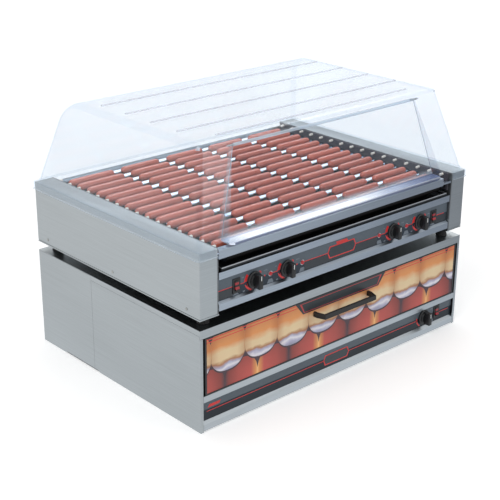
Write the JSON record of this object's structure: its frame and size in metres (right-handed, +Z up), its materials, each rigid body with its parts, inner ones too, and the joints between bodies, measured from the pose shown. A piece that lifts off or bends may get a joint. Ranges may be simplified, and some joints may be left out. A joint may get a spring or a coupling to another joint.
{
  "type": "hot dog roller grill",
  "caption": "Countertop roller grill for hot dogs under a clear hood with a front door, on a bun warmer cabinet with one wide drawer.",
  "frame": {"origin": "middle of the cabinet's underside, on the counter", "axes": "+X along the width to the viewer's right, +Y to the back, +Z up; the front with the controls faces -Y"},
  "size_m": [0.9126, 0.6873, 0.659],
  "materials": {
    "brushed_panel": "fine horizontal brushing",
    "rail_steel": "fine horizontal brushing",
    "inner_steel": "plain mill finish",
    "roller_steel": "polished",
    "dark_sheet": "black enamel",
    "overlay_film": "printed film",
    "black_plastic": "fine grain",
    "red_plastic": "smooth",
    "clear_acrylic": "clear",
    "bearing_nylon": "moulded",
    "drawer_art": "printed panel",
    "heater_sheath": "oxidised",
    "zinc_steel": "zinc plated",
    "sausage_skin": "moist skin"
  },
  "bodies": {
    "casing": {"warmer_base": "inner_steel", "warmer_side_panels": "brushed_panel", "warmer_rear_wrap": "brushed_panel", "warmer_top_cover": "brushed_panel", "warmer_fascia": "rail_steel", "warmer_overlay": "overlay_film", "warmer_heater": "heater_sheath", "drawer_rails": "zinc_steel", "grill_feet": "black_plastic", "grill_base_pan": "brushed_panel", "left_end_housing": "brushed_panel", "right_end_housing": "brushed_panel", "bearing_plates": "inner_steel", "bearing_strips": "bearing_nylon", "drive_chain": "zinc_steel", "drive_motor": "dark_sheet", "heater_rods": "heater_sheath", "frankfurters": "sausage_skin", "tray_rails": "zinc_steel", "front_top_rail": "rail_steel", "control_fascia": "rail_steel", "control_overlay": "overlay_film", "grill_rear_panel": "brushed_panel", "indicator_lights": "red_plastic", "thermostats": "black_plastic", "switch_housings": "black_plastic", "housing_screws": "zinc_steel"},
    "roller_01_body": {"roller_01": "roller_steel"},
    "roller_02_body": {"roller_02": "roller_steel"},
    "roller_03_body": {"roller_03": "roller_steel"},
    "roller_04_body": {"roller_04": "roller_steel"},
    "roller_05_body": {"roller_05": "roller_steel"},
    "roller_06_body": {"roller_06": "roller_steel"},
    "roller_07_body": {"roller_07": "roller_steel"},
    "roller_08_body": {"roller_08": "roller_steel"},
    "roller_09_body": {"roller_09": "roller_steel"},
    "roller_10_body": {"roller_10": "roller_steel"},
    "roller_11_body": {"roller_11": "roller_steel"},
    "roller_12_body": {"roller_12": "roller_steel"},
    "roller_13_body": {"roller_13": "roller_steel"},
    "roller_14_body": {"roller_14": "roller_steel"},
    "roller_15_body": {"roller_15": "roller_steel"},
    "roller_16_body": {"roller_16": "roller_steel"},
    "drive_wheel": {"drive_sprocket": "zinc_steel"},
    "tray": {"drip_tray": "inner_steel"},
    "grill_knob_1_body": {"grill_knob_1": "black_plastic"},
    "grill_knob_2_body": {"grill_knob_2": "black_plastic"},
    "grill_knob_3_body": {"grill_knob_3": "black_plastic"},
    "grill_knob_4_body": {"grill_knob_4": "black_plastic"},
    "grill_rocker_left": {"grill_switch_left": "red_plastic"},
    "grill_rocker_right": {"grill_switch_right": "red_plastic"},
    "hood_body": {"hood": "clear_acrylic", "door_hinge_pins": "zinc_steel"},
    "door": {"hood_door": "clear_acrylic"},
    "drawer": {"drawer_front": "drawer_art", "drawer_pan": "inner_steel", "drawer_handle": "black_plastic", "drawer_runners": "zinc_steel"},
    "warmer_knob_body": {"warmer_knob": "black_plastic"},
    "warmer_rocker": {"warmer_switch": "red_plastic"}
  },
  "joints": [
    {"name": "roller_01_spin", "type": "hinge", "parent": "casing", "child": "roller_01_body", "pos_m": [0, -0.297, 0.409], "axis": [1, 0, 0], "continuous": true},
    {"name": "roller_02_spin", "type": "hinge", "parent": "casing", "child": "roller_02_body", "pos_m": [0, -0.257, 0.409], "axis": [1, 0, 0], "continuous": true},
    {"name": "roller_03_spin", "type": "hinge", "parent": "casing", "child": "roller_03_body", "pos_m": [0, -0.217, 0.409], "axis": [1, 0, 0], "continuous": true},
    {"name": "roller_04_spin", "type": "hinge", "parent": "casing", "child": "roller_04_body", "pos_m": [0, -0.177, 0.409], "axis": [1, 0, 0], "continuous": true},
    {"name": "roller_05_spin", "type": "hinge", "parent": "casing", "child": "roller_05_body", "pos_m": [0, -0.137, 0.409], "axis": [1, 0, 0], "continuous": true},
    {"name": "roller_06_spin", "type": "hinge", "parent": "casing", "child": "roller_06_body", "pos_m": [0, -0.097, 0.409], "axis": [1, 0, 0], "continuous": true},
    {"name": "roller_07_spin", "type": "hinge", "parent": "casing", "child": "roller_07_body", "pos_m": [0, -0.057, 0.409], "axis": [1, 0, 0], "continuous": true},
    {"name": "roller_08_spin", "type": "hinge", "parent": "casing", "child": "roller_08_body", "pos_m": [0, -0.017, 0.409], "axis": [1, 0, 0], "continuous": true},
    {"name": "roller_09_spin", "type": "hinge", "parent": "casing", "child": "roller_09_body", "pos_m": [0, 0.023, 0.409], "axis": [1, 0, 0], "continuous": true},
    {"name": "roller_10_spin", "type": "hinge", "parent": "casing", "child": "roller_10_body", "pos_m": [0, 0.063, 0.409], "axis": [1, 0, 0], "continuous": true},
    {"name": "roller_11_spin", "type": "hinge", "parent": "casing", "child": "roller_11_body", "pos_m": [0, 0.103, 0.409], "axis": [1, 0, 0], "continuous": true},
    {"name": "roller_12_spin", "type": "hinge", "parent": "casing", "child": "roller_12_body", "pos_m": [0, 0.143, 0.409], "axis": [1, 0, 0], "continuous": true},
    {"name": "roller_13_spin", "type": "hinge", "parent": "casing", "child": "roller_13_body", "pos_m": [0, 0.183, 0.409], "axis": [1, 0, 0], "continuous": true},
    {"name": "roller_14_spin", "type": "hinge", "parent": "casing", "child": "roller_14_body", "pos_m": [0, 0.223, 0.409], "axis": [1, 0, 0], "continuous": true},
    {"name": "roller_15_spin", "type": "hinge", "parent": "casing", "child": "roller_15_body", "pos_m": [0, 0.263, 0.409], "axis": [1, 0, 0], "continuous": true},
    {"name": "roller_16_spin", "type": "hinge", "parent": "casing", "child": "roller_16_body", "pos_m": [0, 0.303, 0.409], "axis": [1, 0, 0], "continuous": true},
    {"name": "drive_sprocket_spin", "type": "hinge", "parent": "casing", "child": "drive_wheel", "pos_m": [0, 0.003, 0.333], "axis": [1, 0, 0], "continuous": true},
    {"name": "drip_tray_slide", "type": "slide", "parent": "casing", "child": "tray", "axis": [0, -1, 0], "range_m": [0, 0.5]},
    {"name": "grill_knob_1_turn", "type": "hinge", "parent": "casing", "child": "grill_knob_1_body", "pos_m": [-0.286, -0.3178, 0.335], "axis": [0, 1, 0], "range_deg": [0, 300]},
    {"name": "grill_knob_2_turn", "type": "hinge", "parent": "casing", "child": "grill_knob_2_body", "pos_m": [-0.184, -0.3178, 0.335], "axis": [0, 1, 0], "range_deg": [0, 300]},
    {"name": "grill_knob_3_turn", "type": "hinge", "parent": "casing", "child": "grill_knob_3_body", "pos_m": [0.184, -0.3178, 0.335], "axis": [0, 1, 0], "range_deg": [0, 300]},
    {"name": "grill_knob_4_turn", "type": "hinge", "parent": "casing", "child": "grill_knob_4_body", "pos_m": [0.286, -0.3178, 0.335], "axis": [0, 1, 0], "range_deg": [0, 300]},
    {"name": "grill_switch_left_rock", "type": "hinge", "parent": "casing", "child": "grill_rocker_left", "pos_m": [-0.339, -0.3178, 0.335], "axis": [1, 0, 0], "range_deg": [0, 18]},
    {"name": "grill_switch_right_rock", "type": "hinge", "parent": "casing", "child": "grill_rocker_right", "pos_m": [0.339, -0.3178, 0.335], "axis": [1, 0, 0], "range_deg": [0, 18]},
    {"name": "hood_lift", "type": "slide", "parent": "casing", "child": "hood_body", "axis": [0, 0, 1], "range_m": [0, 0.3]},
    {"name": "hood_door_swing", "type": "hinge", "parent": "hood_body", "child": "door", "pos_m": [0, -0.26117, 0.641], "axis": [-1, 0, 0], "range_deg": [0, 85]},
    {"name": "drawer_slide", "type": "slide", "parent": "casing", "child": "drawer", "axis": [0, -1, 0], "range_m": [0, 0.5]},
    {"name": "warmer_knob_turn", "type": "hinge", "parent": "casing", "child": "warmer_knob_body", "pos_m": [0.326, -0.3178, 0.053], "axis": [0, 1, 0], "range_deg": [0, 300]},
    {"name": "warmer_switch_rock", "type": "hinge", "parent": "casing", "child": "warmer_rocker", "pos_m": [0.379, -0.3178, 0.053], "axis": [1, 0, 0], "range_deg": [0, 18]}
  ],
  "couplings": [
    {"joint": "roller_02_spin", "follows": "roller_01_spin", "ratio": 1},
    {"joint": "roller_03_spin", "follows": "roller_01_spin", "ratio": 1},
    {"joint": "roller_04_spin", "follows": "roller_01_spin", "ratio": 1},
    {"joint": "roller_05_spin", "follows": "roller_01_spin", "ratio": 1},
    {"joint": "roller_06_spin", "follows": "roller_01_spin", "ratio": 1},
    {"joint": "roller_07_spin", "follows": "roller_01_spin", "ratio": 1},
    {"joint": "roller_08_spin", "follows": "roller_01_spin", "ratio": 1},
    {"joint": "roller_09_spin", "follows": "roller_01_spin", "ratio": 1},
    {"joint": "roller_10_spin", "follows": "roller_01_spin", "ratio": 1},
    {"joint": "roller_11_spin", "follows": "roller_01_spin", "ratio": 1},
    {"joint": "roller_12_spin", "follows": "roller_01_spin", "ratio": 1},
    {"joint": "roller_13_spin", "follows": "roller_01_spin", "ratio": 1},
    {"joint": "roller_14_spin", "follows": "roller_01_spin", "ratio": 1},
    {"joint": "roller_15_spin", "follows": "roller_01_spin", "ratio": 1},
    {"joint": "roller_16_spin", "follows": "roller_01_spin", "ratio": 1},
    {"joint": "drive_sprocket_spin", "follows": "roller_01_spin", "ratio": 1}
  ]
}
